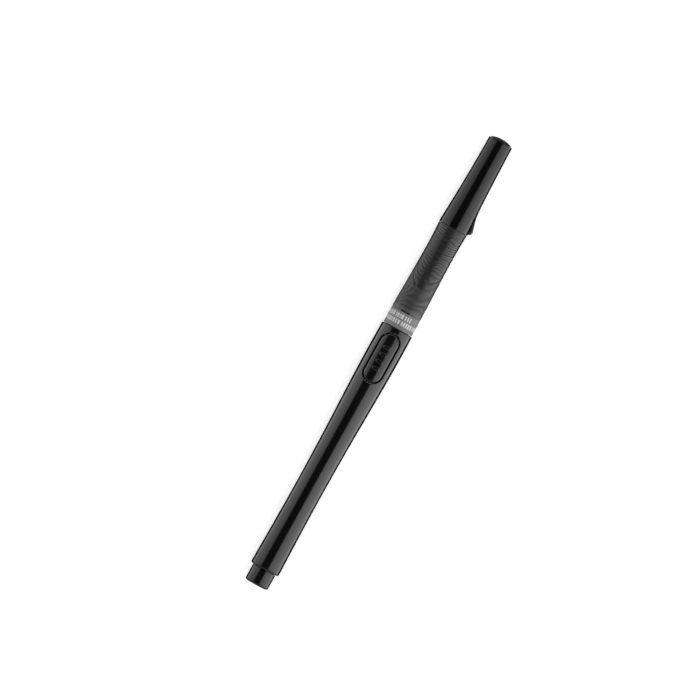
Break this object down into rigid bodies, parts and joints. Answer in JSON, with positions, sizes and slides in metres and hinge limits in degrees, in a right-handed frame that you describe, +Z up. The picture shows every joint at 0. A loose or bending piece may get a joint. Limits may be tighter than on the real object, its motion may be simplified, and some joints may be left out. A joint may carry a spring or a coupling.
{
  "type": "brush pen",
  "caption": "Capped ink brush pen: waisted glossy barrel with an oval press pad, wavy textured grip, stepped nose, bristle tuft and tapered cap with a ball ended pocket clip.",
  "frame": {"origin": "below the middle of the pen, at the height of the table it lies on", "axes": "+X along the pen from tail to cap, +Z up through the middle of the press pad, clip on the -Y side"},
  "size_m": [0.17, 0.0122, 0.0115],
  "materials": {
    "barrel_black": "polished",
    "cap_black": "polished",
    "pad_black": "polished, raised ribs",
    "nose_smoke": "polished",
    "collar_black": "smooth",
    "grip_black": "satin with fine contour ridges",
    "band_grey": "matte, printed bars",
    "bristle_grey": "fine fibres",
    "bottle_clear": "milky",
    "feed_white": "moulded",
    "seal_rubber": "matte",
    "rod_fibre": "bonded fibre"
  },
  "bodies": {
    "pen_body": {"barrel": "barrel_black", "tail_plug": "barrel_black", "band_ring": "band_grey", "grip_sleeve": "grip_black", "nose_cone": "nose_smoke", "nose_o_ring": "seal_rubber", "brush_collar": "collar_black", "brush_head": "bristle_grey", "ink_bottle": "bottle_clear", "bottle_plug": "feed_white", "neck_o_ring": "seal_rubber", "check_valve": "seal_rubber", "feed_holder": "collar_black", "feed_comb": "feed_white", "feed_rod": "rod_fibre"},
    "pad": {"push_pad": "pad_black"},
    "cap": {"cap_shell": "cap_black", "cap_crown": "cap_black", "inner_cap": "feed_white"},
    "clip": {"cap_clip": "cap_black"}
  },
  "joints": [
    {"name": "cap_pull", "type": "slide", "parent": "pen_body", "child": "cap", "axis": [1, 0, 0], "range_m": [0, 0.045]},
    {"name": "pad_press", "type": "slide", "parent": "pen_body", "child": "pad", "axis": [0, 0, -1], "range_m": [0, 0.001], "stiffness_N_per_m": 1500, "deforming": ["ink_bottle"]},
    {"name": "clip_flex", "type": "hinge", "parent": "cap", "child": "clip", "pos_m": [0.0819, -0.00295, 0.00284], "axis": [0, -0.6462, 0.7632], "range_deg": [0, 4], "stiffness_Nm_per_rad": 0.6}
  ]
}
